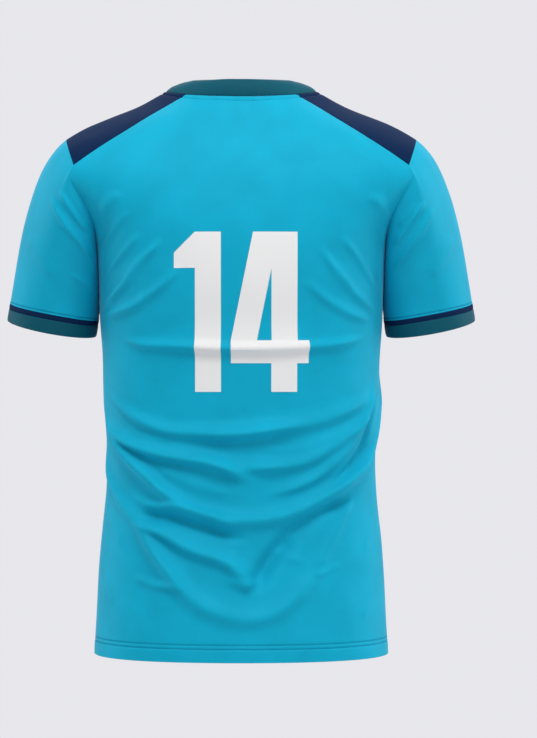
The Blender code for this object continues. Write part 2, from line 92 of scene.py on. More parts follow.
# Sections of the torso form, from the hem up. squareness is how far a section fills out towards a
# rounded rectangle, or below 0 draws in at its corners.
Section = namedtuple("Section", "height half_width back_depth front_depth squareness")
TORSO_SECTIONS = (
    Section(-0.700, 0.1818, 0.1215, 0.1330, 0.030),
    Section(-0.640, 0.1782, 0.1150, 0.1300, 0.030),
    Section(-0.585, 0.1755, 0.1065, 0.1275, 0.030),
    Section(-0.540, 0.1715, 0.1015, 0.1255, 0.030),
    Section(-0.490, 0.1665, 0.0990, 0.1240, 0.030),
    Section(-0.430, 0.1660, 0.1000, 0.1235, 0.030),
    Section(-0.380, 0.1698, 0.1035, 0.1260, 0.030),
    Section(-0.330, 0.1708, 0.1090, 0.1310, 0.030),
    Section(-0.280, 0.1742, 0.1180, 0.1350, 0.032),
    Section(-0.240, 0.1758, 0.1265, 0.1370, 0.036),
    Section(-0.205, 0.1790, 0.1305, 0.1360, 0.045),
    Section(-0.170, 0.1870, 0.1310, 0.1310, 0.060),
    Section(-0.130, 0.2200, 0.1255, 0.1210, 0.075),
    Section(-0.100, 0.2500, 0.1175, 0.1090, 0.070),
    Section(-0.0593, 0.2153, 0.1010, 0.0900, 0.030),
    Section(-0.0423, 0.1852, 0.0940, 0.0810, -0.005),
    Section(-0.0204, 0.1308, 0.0840, 0.0690, -0.035),
    Section(-0.0049, 0.1016, 0.0750, 0.0580, -0.050),
    Section(0.0040, 0.0850, 0.0690, 0.0500, -0.055),
)

# Sleeves. The cuff's lower edge is a ring that swings out and forward from hanging straight down.
CUFF_CENTRE = (0.2358, 0.030, -0.2908)
CUFF_HALF_WIDTH = 0.0561
CUFF_HALF_DEPTH = 0.0590
SLEEVE_OUT = math.radians(10.5)
SLEEVE_FORWARD = math.radians(8.0)
CUFF_BAND = 15.0 * MM  # height of the cuff's band inside and outside the arm
CUFF_DROP = 0.17  # how much higher it is before and behind the arm, as a share
CUFF_STRIPE = 6.6 * MM
# The way the cloth leaves the armhole: degrees down from level, over the arm, beside it and under it
SLEEVE_FALL = (33.0, 62.0, 108.0)
# How strongly a sleeve keeps its direction at the armhole and at the cuff, as a share of its length
SLEEVE_PULL = (0.75, 1.05)
# How far the sleeve keeps off the torso, and the depth below the armpit where it gets that far
SLEEVE_CLEARANCE = 0.6 * MM
CLEARANCE_DEPTH = 8 * MM
CLEARANCE_BLEND = 0.2 * MM
# Only points below the armpit and this near the middle of the body can meet the torso
TORSO_REACH = 0.2
TORSO_DEPTH = 0.1
# The armhole's corners fade from a sleeve over this share of its length
CORNER_REACH = 0.30
CORNER_SAMPLES = 240
CORNER_ROUNDS = 160

# Collar: a band that leans in from the neck seam, by degrees from upright at the back, side and front
COLLAR_HEIGHT = 22.5 * MM
COLLAR_LEAN = (16.0, 66.0, 42.0)
COLLAR_BULGE = 2.2 * MM
COLLAR_SMOOTHING = 9  # its direction at a point is evened out over this many points on both sides


def spaced(cells, close_from, close_cells):
    """Shares from 0 to 1 in even steps, with a few close together at the start and from close_from."""
    first = [0, 0.1 / cells, 0.35 / cells]
    most = np.linspace(close_from / cells, close_from, cells)
    close = np.linspace(close_from, 1, close_cells + 1)[1:]
    return np.concatenate([first, most, close])


# How the panels' grids are divided: shares along stretches of seam, and numbers of cells
YOKE_SEAM_SHARES = spaced(38, 0.93, 10)
ARMHOLE_SHARES = spaced(44, 0.92, 22)
NECK_BACK_SHARES = np.linspace(0, 1, 21)
NECK_FRONT_SHARES = np.linspace(0, 1, 17)
YOKE_NECK_CELLS = 60
SIDE_CELLS = 190
SLEEVE_CELLS = 84
STRIPE_CELLS = 6
BAND_CELLS = 12
COLLAR_CELLS = 14
HEM_CELLS = 720

# Folds. Each crest runs through these places: degrees across from the centre line of its side, positive
# to the wearer's right, and depths below the origin. above and below are how far it reaches on its upper
# and lower side at its middle, less towards its ends. A trough has a rise below 0. All but the degrees
# is in millimetres.
Fold = namedtuple("Fold", "across depths above below rise")
BACK_FOLDS = (
    # across the small of the back
    Fold((-55, -44, -35, -25, 0, 24, 36, 46, 58),
         (304, 310, 313, 314, 317, 315, 312, 308, 303), 6.5, 6, 6.5),
    Fold((-34, -2, 30), (306, 311, 305), 18, 14, 3),
    # the swags above the hips
    Fold((-75, -45, -29, -14, 0, 13, 27), (365, 401, 416, 420, 419, 413, 407), 9, 7.2, 8.5),
    Fold((-24, -9, 3, 16, 30, 45, 74), (415, 419, 418, 413, 405, 392, 371), 13, 8.5, 6.5),
    Fold((-63, -53, -42, -34, -25), (386, 407, 421, 426, 429), 4.5, 4, 1.6),
    Fold((4, 15, 24, 35, 49), (436, 440, 436, 424, 405), 6, 6, 1.8),
    Fold((-74, -57, -43, -31, -20, -12, -3, 3), (402, 425, 438, 446, 451, 455, 467, 484), 11.5, 5.5, 12),
    Fold((-20, -10, 0, 9, 19), (449, 456, 461, 460, 453), 13, 16, 4),
    Fold((-2, 6, 15, 24, 33, 43, 54, 67), (463, 461, 459, 454, 442, 426, 409, 386), 12, 7.2, 8.5),
    Fold((-36, -27, -19, -10, -2), (457, 471, 480, 488, 492), 8, 8, 2.6),
    Fold((8, 18, 29, 39, 49, 57, 66, 71), (496, 487, 473, 454, 431, 405, 376, 343), 9, 6, 6.5),
    Fold((-90, -70, -51, -37, -27, -17, 0, 16, 32, 51, 71, 90),
         (370, 414, 449, 475, 496, 513, 523, 517, 497, 469, 437, 380), 8.5, 11, 10.5),
    Fold((-78, -61, -50, -39, -32, -24), (395, 428, 450, 471, 488, 503), 8, 5.5, 5),
    Fold((32, 43, 55, 66, 80, 90, 90), (500, 485, 465, 441, 411, 378, 338), 9, 8, 4),
    Fold((34, 45, 55, 63, 70, 79), (489, 470, 448, 424, 395, 360), 6.5, 6, -5.5),
    Fold((-31, -20, -11, 0, 10, 20, 29, 41, 53, 66, 80),
         (473, 502, 513, 518, 516, 508, 497, 478, 456, 431, 398), 3.2, 3.2, -1.3),
    Fold((-52, -39, -29, -20, -12, -6, 2), (487, 504, 507, 510, 517, 526, 530), 5.5, 7.5, 5),
    Fold((-44, -36, -27, -19, -12, -5, 4), (515, 520, 522, 528, 535, 543, 547), 8, 7, -7),
    # below them
    Fold((-45, -36, -29, -21, -13, -5, 1, 5), (526, 535, 543, 556, 566, 576, 597, 621), 11, 6.2, 11),
    Fold((-90, -75, -59, -45, -36, -29, -23, -17), (430, 466, 498, 526, 553, 579, 599, 616), 11, 8.5, 7),
    Fold((-5, -1, 3, 7), (591, 601, 602, 590), 6, 5, 5),
    Fold((58, 43, 32, 25, 18, 13, 9, 5, 2), (499, 504, 511, 524, 540, 555, 573, 597, 628), 8, 11, -8.5),
    Fold((53, 44, 37, 31, 26), (494, 517, 543, 567, 588), 8, 6, 4),
    Fold((10, 16, 23), (554, 567, 574), 6, 5, 1.5),
    Fold((26, 32, 40), (590, 586, 576), 5.5, 4.5, 1.7),
    Fold((-55, -43, -36, -30, -25, -19, -11, 0, 9, 17, 23, 30, 37),
         (502, 528, 554, 575, 594, 614, 631, 642, 639, 624, 606, 582, 555), 11.5, 9.5, 7),
    Fold((20, 15, 10, 7, 3), (543, 556, 572, 591, 615), 7.5, 10, -5),
    Fold((-44, -35, -28, -21), (590, 601, 604, 608), 5.5, 4.5, 3.2),
    # the pulls from the armpits
    Fold((-32, -37, -44, -54), (132, 138, 147, 159), 5, 4.5, 3.6),
    Fold((-33, -42, -52, -64), (153, 165, 180, 198), 4, 4, 2.6),
    Fold((-34, -42, -51, -65), (178, 195, 211, 233), 4.2, 4, 3.6),
    Fold((-26, -33, -42, -52, -76), (185, 204, 224, 246, 276), 5.2, 5, 5.6),
    Fold((-20, -28, -36, -47, -72), (217, 240, 255, 269, 280), 6.5, 4.8, 5.6),
    Fold((35, 41, 49, 63), (135, 140, 149, 162), 4.5, 4, 3),
    Fold((34, 42, 50, 59, 73), (182, 200, 218, 236, 255), 4.2, 4.2, 3.8),
    Fold((26, 33, 41, 50, 70), (193, 218, 238, 256, 279), 6, 5.8, 4.8),
    Fold((21, 29, 37, 47, 63), (232, 253, 267, 277, 285), 6.5, 5.5, 4),
    # small ones near the hem
    Fold((29, 36, 42), (578, 565, 550), 6, 5, 1.2),
    Fold((-33, -26, -18), (600, 604, 614), 6, 5, 1.4),
    Fold((-41, -37, -33), (594, 624, 654), 8, 8, -1.2),
    Fold((-73, -62, -52), (513, 535, 561), 7, 6, 1.4),
    Fold((-70, -63, -57), (580, 606, 630), 7, 6, 1.3),
    Fold((63, 57, 51), (604, 626, 648), 7, 6, 1.2),
    Fold((72, 64, 54), (500, 536, 566), 8, 7, 1.4),
)
FRONT_FOLDS = (
    Fold((-52, -24, 3, 28, 54), (312, 318, 322, 317, 309), 17, 13, 4.5),
    Fold((-64, -33, 2, 34, 66), (372, 410, 424, 414, 384), 14, 11, 6),
    Fold((-66, -36, -3, 30, 62), (400, 456, 482, 466, 412), 12, 10, 6.8),
    Fold((-60, -32, 4, 38, 66), (450, 510, 546, 516, 448), 13, 10, 6.8),
    Fold((-6, 12, 28, 44), (586, 572, 548, 520), 10, 8, 4.5),
    Fold((-52, -30, -3, 24, 50), (530, 598, 646, 604, 536), 17, 12, 6.8),
    Fold((-38, -50, -62), (160, 178, 200), 6, 4, 1.8),
    Fold((-34, -48, -64), (196, 226, 250), 7, 5, 2.3),
    Fold((-25, -40, -58), (230, 258, 280), 7, 5, 2.2),
    Fold((40, 51, 62), (166, 186, 208), 6, 4, 1.8),
    Fold((31, 46, 62), (204, 236, 262), 7, 5, 2.3),
    Fold((24, 40, 56), (238, 264, 284), 7, 5, 2.1),
    Fold((70, 62, 52), (520, 552, 580), 8, 6, 1.8),
    Fold((-72, -63, -54), (556, 584, 612), 8, 6, 1.8),
)
FOLD_RADIUS = 0.165  # turns a fold's degrees into distances round the body
PINCH = 0.5  # how much narrower a fold is at its ends than at its middle, as a share
FADE = 0.42  # how much of a fold's half length its rise takes to fade to nothing at its end
FOLD_REACH = 2.3  # how many times its width away a fold can still be felt
FOLD_SAMPLES = 61

# Folds of the sleeves, with distances from the centre line of the body in place of degrees
SLEEVE_FOLDS = {
    "left back": (
        Fold((231, 222, 210, 195, 179), (131, 152, 171, 189, 216), 4.2, 3.6, 3.6),
        Fold((220, 210, 199, 184), (125, 142, 159, 178), 3.8, 3.2, 3.2),
        Fold((206, 198, 188), (129, 143, 158), 3.2, 3, 2),
        Fold((209, 194, 178), (226, 235, 246), 4, 3.2, 1.4),
    ),
    "right back": (
        Fold((235, 222, 207, 182), (144, 166, 190, 226), 3.8, 3.6, 3.2),
        Fold((224, 210, 197, 183), (137, 155, 174, 195), 3.6, 3.4, 3.4),
        Fold((211, 200, 189), (144, 156, 171), 3.2, 3, 2.2),
    ),
    "both back": (
        Fold((262, 245, 226), (176, 206, 232), 10, 8, 1.8),
    ),
    "both front": (
        Fold((226, 212, 196), (136, 166, 192), 6, 4, 3),
        Fold((214, 202, 190), (132, 152, 172), 5, 4, 2.4),
        Fold((206, 190, 176), (222, 234, 250), 5, 4, 2),
        Fold((264, 246, 224), (180, 214, 240), 10, 8, 2),
    ),
}

# Waves too small to be folds
RIPPLE = 0.5 * MM
RIPPLE_SIZE = 0.030
RIPPLE_WIDTH = 0.6  # how wide they are, as a share of their height

# Knit: the size of a loop, how Blender's wave texture scales, and how strong and deep its relief is
LOOP_SIZE = 0.9 * MM
LOOP_WAVES = 0.314
LOOP_WAVER = 0.6
KNIT_STRENGTH = 0.35
KNIT_DEPTH = 0.00012

# Stitches: how far the lines are above the hem, from the neck seam and above the cuff's seam
HEM_LINES = (16 * MM, 21 * MM)
NECK_LINE = 6 * MM
NECK_LIP = 0.45 * NECK_LINE  # how far from the neck seam the raised edge is highest, and its width
NECK_LIP_WIDTH = 0.4 * NECK_LINE
CUFF_LINE = 2.6 * MM
GROOVE_DEPTH = 0.8 * MM
GROOVE_WIDTH = 0.9 * MM
LIP_HEIGHT = 0.8 * MM  # the raised edge of the sleeve over its seam with the cuff
LIP_WIDTH = 0.7 * MM
NECK_REACH = 0.12  # the neck seam is nearer than this to the centre line, and no lower
STITCH_LENGTH = 2.6 * MM
STITCH_GAP = 0.6 * MM
HEM_STITCH_LIFT = -0.3 * MM
THREAD_RADIUS = 0.24 * MM
THREAD_SIDES = 5
RING_SHARES = np.array([0, 0.18, 0.5, 0.82, 1.0])  # where along a stitch its rings of points are
RING_SIZES = (0.35, 0.9, 1.0, 0.9, 0.35)
ASKEW = np.array([0.13, 0.21, 0.97])  # a direction that no level thread runs along

# The print
PRINT_REACH = 0.09  # no digit is farther from the centre line
PRINT_LIFT = 0.35 * MM
PRINT_THICKNESS = 0.2 * MM
PRINT_CELL = 3.5 * MM
PRINT_TOP = -0.1786
PRINT_FOOT = -0.3694
PRINT_STROKE = 0.031

# Lamps: where each stands and aims, its sizes across and up, and its watts
Lamp = namedtuple("Lamp", "name place aim across up watts")
LAMPS = (
    Lamp("overhead", (0, -0.3, 2.2), (0, 0, -0.3), 2.4, 1.6, 18),
    Lamp("front high", (0, -2.4, 2.4), (0, 0, -0.3), 2.0, 1.2, 79),
    Lamp("right", (2.6, -2.0, 0.3), (0.1, 0, -0.3), 1.2, 2.2, 15),
    Lamp("left rim", (-2.4, 0.8, 0.2), (-0.1, 0, -0.3), 0.8, 2.2, 30),
    Lamp("right rim", (2.4, 0.8, 0.2), (0.1, 0, -0.3), 0.8, 2.2, 33),
    Lamp("far side", (0, 2.5, 2.3), (0, 0, -0.3), 2.0, 1.2, 46),
)
AMBIENT = 0.375
AMBIENT_COLOUR = (0.80, 0.81, 0.84, 1.0)
FLOOR_RADIUS = 12.0
FLOOR_HEIGHT = -3.2  # far down, so that a low view still has it beneath the camera
BACKDROP = (0.799, 0.799, 0.838, 1.0)

# Camera: level, at the photograph's viewing angle
CAMERA_PLACE = (0, -3.5, -0.342)
CAMERA_SENSOR = 36.0
CAMERA_LENS = 138.24
CAMERA_SHIFT = 0.0369

# Looks of the materials. Navy cloth has less gloss and sheen.
ROUGHNESS = 0.65
GLOSS = 0.10
DARK_GLOSS = 0.02
SHEEN = 0.09
DARK_SHEEN = 0.02
SHEEN_ROUGHNESS = 0.25
PATCH_SCALE = 22.0
PATCH_DETAIL = 4.0
PATCH_ENDS = (0.3, 0.7)
PATCH_SHADES = (0.94, 1.06)
COLOURS = {
    "cyan cloth": (0.003, 0.385, 0.575, 1.0),
    "navy cloth": (0.005, 0.020, 0.068, 1.0),
    "teal cloth": (0.003, 0.085, 0.125, 1.0),
    "white print": (0.83, 0.83, 0.82, 1.0),
    "cyan thread": (0.003, 0.300, 0.460, 1.0),
    "navy thread": (0.005, 0.016, 0.055, 1.0),
}


def unit(vectors):
    return vectors / np.linalg.norm(vectors, axis=-1, keepdims=True)


# ------------ the torso form


def natural_spline(knots, values):
    """The smooth curve through these values, as a function of a number or an array."""
    knots = np.array(knots, float)
    values = np.array(values, float)
    spans = np.diff(knots)
    slopes = np.diff(values) / spans
    matrix = np.eye(len(knots))
    right = np.zeros(len(knots))
    for i in range(1, len(knots) - 1):
        matrix[i, i - 1] = spans[i - 1]
        matrix[i, i] = 2 * (spans[i - 1] + spans[i])
        matrix[i, i + 1] = spans[i]
        right[i] = 6 * (slopes[i] - slopes[i - 1])
    bends = np.linalg.solve(matrix, right)

    def curve(x):
        x = np.clip(x, knots[0], knots[-1])
        i = np.clip(np.searchsorted(knots, x) - 1, 0, len(spans) - 1)
        span = spans[i]
        before = x - knots[i]
        after = knots[i + 1] - x
        bent = (bends[i] * after**3 + bends[i + 1] * before**3) / (6 * span)
        low = (values[i] / span - bends[i] * span / 6) * after
        high = (values[i + 1] / span - bends[i + 1] * span / 6) * before
        return bent + low + high

    return curve


def section_curve(column):
    rows = [row._asdict() for row in TORSO_SECTIONS]
    return natural_spline([row["height"] for row in rows], [row[column] for row in rows])


HALF_WIDTH = section_curve("half_width")
BACK_DEPTH = section_curve("back_depth")
FRONT_DEPTH = section_curve("front_depth")
SQUARENESS = section_curve("squareness")


def torso_form(angle, height):
    square = SQUARENESS(height)
    across = (np.sin(angle) + square * np.sin(3 * angle)) / (1 - square)
    back = (np.cos(angle) - square * np.cos(3 * angle)) / (1 - square)
    depth = np.where(back > 0, BACK_DEPTH(height), FRONT_DEPTH(height))
    return np.stack([HALF_WIDTH(height) * across, -depth * back, height + 0 * angle], axis=-1)


def squared_root(share, square):
    """The sine or cosine whose place on a section with this squareness is at this share of its reach."""
    share = np.clip(share, 0, 1) * (1 - square)
    root = share
    for _ in range(12):
        miss = root * (1 + 3 * square) - 4 * square * root**3 - share
        root = root - miss / (1 + 3 * square - 12 * square * root**2)
    return np.clip(root, 0, 1)


def place_at(out, height, front):
    """The place on the wearer's right at this distance from the centre line and this height."""
    height = np.asarray(height, float)
    angle = np.arcsin(squared_root(out / HALF_WIDTH(height), SQUARENESS(height)))
    return np.stack([HALF_TURN - angle if front else angle, height], axis=-1)


def stroke_lift(across, up, folds, unit_across):
    """How far these folds lift points at these flat positions. unit_across is the folds' unit of across."""
    lift = np.zeros(np.shape(across))
    t = np.linspace(0, 1, FOLD_SAMPLES)
    for fold in folds:
        knots = np.linspace(0, 1, len(fold.across))
        line_across = natural_spline(knots, fold.across)(t) * unit_across
        line = np.stack([line_across, natural_spline(knots, fold.depths)(t) * -MM], axis=-1)
        reach = FOLD_REACH * max(fold.above, fold.below) * MM
        low = line.min(axis=0) - reach
        high = line.max(axis=0) + reach
        near = (across > low[0]) & (across < high[0]) & (up > low[1]) & (up < high[1])
        if not near.any():
            continue
        first = line[:-1]
        step = line[1:] - line[:-1]
        a = across[near][:, None] - first[:, 0]
        u = up[near][:, None] - first[:, 1]
        share = np.clip((a * step[:, 0] + u * step[:, 1]) / (step**2).sum(axis=1), 0, 1)
        a = a - share * step[:, 0]
        u = u - share * step[:, 1]
        apart = np.hypot(a, u)
        nearest = np.argmin(apart, axis=1)
        row = np.arange(len(nearest))
        along = np.abs(2 * (nearest + share[row, nearest]) / len(first) - 1)
        width = np.where(u[row, nearest] > 0, fold.above, fold.below) * MM * (1 - PINCH * along**2)
        fade = np.clip((1 - along) / FADE, 0, 1)
        fade = fade * fade * (3 - 2 * fade)
        lift[near] += fold.rise * MM * np.exp(-((apart[row, nearest] / width) ** 2)) * fade
    return lift


def from_centre(angle, side):
    """Angles from the centre line of the back or the front, positive to the wearer's right."""
    turned = angle if side == "back" else HALF_TURN - angle
    return (turned + HALF_TURN) % (2 * HALF_TURN) - HALF_TURN


def ripple(points):
    """Small uneven waves, as a lift for each point."""
    flat = points.reshape(-1, 3) / RIPPLE_SIZE
    made = [noise.noise(Vector((x, y, RIPPLE_WIDTH * z))) for x, y, z in flat]
    return RIPPLE * np.array(made).reshape(points.shape[:-1])


def torso_lift(angle, height):
    angle = angle + 0 * height
    height = height + 0 * angle
    lift = 0 * angle
    for side, folds in (("back", BACK_FOLDS), ("front", FRONT_FOLDS)):
        across = FOLD_RADIUS * from_centre(angle, side)
        lift = lift + stroke_lift(across, height, folds, math.radians(FOLD_RADIUS))
    return lift


def torso_normal(angle, height, step=1e-4):
    round_it = torso_form(angle + step, height) - torso_form(angle - step, height)
    up = torso_form(angle, height + step) - torso_form(angle, height - step)
    return unit(np.cross(round_it, up))


def moved_out(points, places, lift):
    """Points near the torso, moved outward from it by this much."""
    return points + torso_normal(places[..., 0], places[..., 1]) * lift[..., None]


def torso_points(places, more=0.0):
    """Points of the worn cloth at these places, and more metres outward."""
    angle = places[..., 0]
    height = places[..., 1]
    form = torso_form(angle, height)
    return moved_out(form, places, torso_lift(angle, height) + ripple(form) + more)


# ------------ seams, on the wearer's right


def neck_seam(degrees):
    """Places on the neck seam, by degrees round the neck from the centre back."""
    turn = np.radians(degrees)
    drop = np.where(np.cos(turn) > 0, NECK_DROP_BACK, NECK_DROP_FRONT)
    height = -drop * np.abs(np.cos(turn)) ** NECK_ROUNDNESS
    out = NECK_HALF_WIDTH * np.sin(turn)
    back = place_at(out, height, front=False)
    front = place_at(out, height, front=True)
    return np.where((np.cos(turn) > 0)[..., None], back, front)


def yoke_seam(front, t=YOKE_SEAM_SHARES):
    """The seam between a shoulder panel and the back or front, from its tip to the neck."""
    degrees = np.array([YOKE_NECK_FRONT if front else YOKE_NECK_BACK])
    neck = neck_seam(degrees)[0]
    neck_out = NECK_HALF_WIDTH * math.sin(math.radians(degrees[0]))
    out = YOKE_TIP[0] + (neck_out - YOKE_TIP[0]) * t
    height = YOKE_TIP[1] + (neck[1] - YOKE_TIP[1]) * t + YOKE_BOW * 4 * t * (1 - t)
    return place_at(out, height, front)


def armhole_seam(front, t=ARMHOLE_SHARES):
    """The armhole's edge on the back or front, from under the arm to the shoulder panel's tip."""
    tip = place_at(*YOKE_TIP, front)
    angle = QUARTER + (tip[0] - QUARTER) * t
    height = tip[1] + (ARMPIT - tip[1]) * np.cos(QUARTER * t)
    return np.stack([angle, height], axis=-1)


def yoke_outer_edge(cells=YOKE_NECK_CELLS):
    """The armhole's edge on the shoulder panel, over the arm from its back tip to its front tip."""
    top = np.array([HALF_WIDTH(SHOULDER_END), SHOULDER_END])
    half = np.linspace(0, 1, cells // 2 + 1)[:, None] ** 2
    out, height = (top + (np.array(YOKE_TIP) - top) * half).T
    back = place_at(out, height, front=False)
    return np.concatenate([back[::-1], place_at(out, height, front=True)[1:]])


def mirrored(places, front):
    made = places.copy()
    made[..., 0] = (2 * HALF_TURN if front else 0) - made[..., 0]
    return made


# ------------ places on the panels


def patch(bottom, top, left, right, u, v):
    """A grid of places inside four edges, rows from the bottom to the top."""
    u = u[None, :, None]
    v = v[:, None, None]
    across = (1 - v) * bottom[None] + v * top[None]
    along = (1 - u) * left[:, None] + u * right[:, None]
    low = (1 - u) * bottom[0] + u * bottom[-1]
    high = (1 - u) * top[0] + u * top[-1]
    return across + along - (1 - v) * low - v * high


def flattened(places, centre):
    round_it = (places[..., 0] - centre) * HALF_WIDTH(places[..., 1])
    return np.stack([round_it, places[..., 1]], axis=-1)


def unflattened(flat, centre):
    return np.stack([centre + flat[..., 0] / HALF_WIDTH(flat[..., 1]), flat[..., 1]], axis=-1)


def joined(*edges):
    return np.concatenate([edges[0]] + [edge[1:] for edge in edges[1:]])


def hem_height(angle):
    return HEM - HEM_SAG * np.cos(angle) ** 2


def heights_above_hem():
    """Distances above the hem of the lowest rows, close together at the edge and the stitches."""
    near = [0, 0.4, 1.5, 4, 7, 10, 13, 24.5, 27]
    for line in HEM_LINES:
        near += [line / MM + step for step in (-1.8, -1.2, -0.6, 0, 0.6, 1.2, 1.8)]
    return np.unique(np.round(near, 2)) * MM


def body_panel_places(front):
    """Places on the back, from the wearer's left to right, or on the front, from right to left."""
    seam = yoke_seam(front)
    if front:
        neck = neck_seam(YOKE_NECK_FRONT + (180 - YOKE_NECK_FRONT) * NECK_FRONT_SHARES)
    else:
        neck = neck_seam(YOKE_NECK_BACK * NECK_BACK_SHARES)
    armhole = armhole_seam(front)
    if front:
        top = joined(seam, neck, mirrored(neck, True)[::-1], mirrored(seam, True)[::-1])
        left, right = armhole, mirrored(armhole, True)
    else:
        top = joined(mirrored(seam, False), mirrored(neck, False)[::-1], neck, seam[::-1])
        left, right = mirrored(armhole, False), armhole
    out = torso_form(top[:, 0], top[:, 1])[:, 0]
    u = (out - out[0]) / (out[-1] - out[0])
    angles = left[0, 0] + (right[0, 0] - left[0, 0]) * u
    armpits = np.stack([angles, np.full(len(angles), ARMPIT)], axis=-1)
    centre = HALF_TURN if front else 0.0
    edges = [flattened(edge, centre) for edge in (armpits, top, left, right)]
    upper = unflattened(patch(*edges, u, ARMHOLE_SHARES), centre)
    low = hem_height(angles) + heights_above_hem()[:, None]
    share = np.linspace(0, 1, SIDE_CELLS + 1)[1:, None]
    high = low[-1] + (ARMPIT - low[-1]) * share
    heights = np.concatenate([low, high])
    lower = np.stack([angles + 0 * heights, heights], axis=-1)
    return np.concatenate([lower, upper[1:]])


def yoke_places():
    """Places on the right shoulder panel: rows from the arm to the neck, columns back to front."""
    outer = yoke_outer_edge()
    shares = np.linspace(0, 1, YOKE_NECK_CELLS + 1)
    neck = neck_seam(YOKE_NECK_BACK + (YOKE_NECK_FRONT - YOKE_NECK_BACK) * shares)
    seams = (yoke_seam(front=False), yoke_seam(front=True))
    return patch(outer, neck, *seams, shares, YOKE_SEAM_SHARES)


def seen_on_right(places, side):
    """Points at these places, or at their mirror places on the left, mirrored back to the right."""
    if side == "right":
        return torso_points(places)
    return torso_points(mirrored(places, False)) * MIRROR


# ------------ sleeve, cuff and collar


def armhole_ring():
    over = yoke_outer_edge()[::-1]
    back = armhole_seam(front=False)[::-1]
    front = armhole_seam(front=True)
    return joined(over, back, front)


def lengths_along(points):
    steps = np.linalg.norm(np.diff(points, axis=0), axis=-1)
    return np.concatenate([[0], np.cumsum(steps)])


def points_at(wanted, lengths, line):
    """Points of a line at the wanted lengths along it."""
    return np.stack([np.interp(wanted, lengths, line[:, i]) for i in range(3)], axis=-1)


def share_of_length(points):
    lengths = lengths_along(points)
    return lengths / lengths[-1]


def cuff_turns(ring):
    """For each point of the armhole, the angle round the cuff: 0 outside, half a turn inside."""
    top = YOKE_NECK_CELLS // 2
    under = YOKE_NECK_CELLS + len(ARMHOLE_SHARES) - 1
    back = share_of_length(ring[top : under + 1]) * HALF_TURN
    front = share_of_length(np.concatenate([ring[under:], ring[1 : top + 1]])) * HALF_TURN + HALF_TURN
    return np.concatenate([front[-top - 1 : -1] - 2 * HALF_TURN, back, front[1 : len(front) - top]])


def cuff_ring(turns):
    """Points of the right cuff's lower edge, and the way the cloth comes down to it."""
    outward = np.array([math.cos(SLEEVE_OUT), 0, math.sin(SLEEVE_OUT)])
    backward = -np.array([0, math.cos(SLEEVE_FORWARD), math.sin(SLEEVE_FORWARD)])
    down = unit(np.cross(outward, backward))
    cosine = np.cos(turns)[:, None]
    sine = np.sin(turns)[:, None]
    ring = np.array(CUFF_CENTRE) + CUFF_HALF_WIDTH * cosine * outward
    ring = ring + CUFF_HALF_DEPTH * sine * backward
    return ring, down if down[2] < 0 else -down


def rounded_ring(ring):
    """A closed ring of points with its corners rounded off by averaging along its length."""
    lengths = lengths_along(ring)
    even = np.linspace(0, lengths[-1], CORNER_SAMPLES + 1)
    points = points_at(even, lengths, ring)[:-1]
    for _ in range(CORNER_ROUNDS):
        points = (np.roll(points, 1, axis=0) + 2 * points + np.roll(points, -1, axis=0)) / 4
    points = np.concatenate([points, points[:1]])
    return points_at(lengths, even, points)


def sleeve_lines(side, samples=300):
    """Lines down a sleeve as if on the wearer's right, one from each point of the armhole, and the
    height of the cuff's band on each.
    """
    seam = seen_on_right(armhole_ring(), side)
    turns = cuff_turns(seam)
    start = rounded_ring(seam)
    end, down = cuff_ring(turns)
    over, beside, under = (math.radians(fall) for fall in SLEEVE_FALL)
    outside = np.cos(turns)
    fall = beside + np.where(outside > 0, (over - beside), (beside - under)) * outside
    leave = np.stack([np.cos(fall), 0 * fall, -np.sin(fall)], axis=-1)
    reach = np.linalg.norm(end - start, axis=-1, keepdims=True)
    leave = (leave * reach * SLEEVE_PULL[0])[:, None]
    arrive = (down * reach * SLEEVE_PULL[1])[:, None]
    t = np.linspace(0, 1, samples)[None, :, None]
    lines = (2 * t**3 - 3 * t**2 + 1) * start[:, None] + (t**3 - 2 * t**2 + t) * leave
    lines = lines + (3 * t**2 - 2 * t**3) * end[:, None] + (t**3 - t**2) * arrive
    lines = lines + (seam - start)[:, None] * np.clip(1 - t / CORNER_REACH, 0, 1) ** 2
    return kept_clear(lines, side), CUFF_BAND * (1 + CUFF_DROP * np.sin(turns) ** 2)


def kept_clear(points, side):
    """The points of a sleeve, moved out where they would reach into the torso."""
    made = points.copy()
    low = points[..., 2] < ARMPIT
    near = low & (points[..., 0] < TORSO_REACH) & (np.abs(points[..., 1]) < TORSO_DEPTH)
    across = points[near, 1]
    height = points[near, 2]
    depth = np.where(across < 0, BACK_DEPTH(height), FRONT_DEPTH(height))
    turn = np.arccos(squared_root(np.abs(across) / depth, SQUARENESS(height)))
    angle = np.where(across < 0, turn, HALF_TURN - turn)
    torso = seen_on_right(np.stack([angle, height], axis=-1), side)[..., 0]
    clearance = SLEEVE_CLEARANCE * np.clip((ARMPIT - height) / CLEARANCE_DEPTH, 0, 1)
    miss = torso + clearance - points[near, 0]
    made[near, 0] += (miss + np.sqrt(miss**2 + CLEARANCE_BLEND**2)) / 2
    return made


def points_down(lines, above_end):
    """Rows of points on the lines. Each row's distances above their ends are a number for each line."""
    columns = []
    for line, above in zip(lines, np.transpose(above_end)):
        lengths = lengths_along(line)
        columns.append(points_at(lengths[-1] - above, lengths, line))
    return np.array(columns).transpose(1, 0, 2)


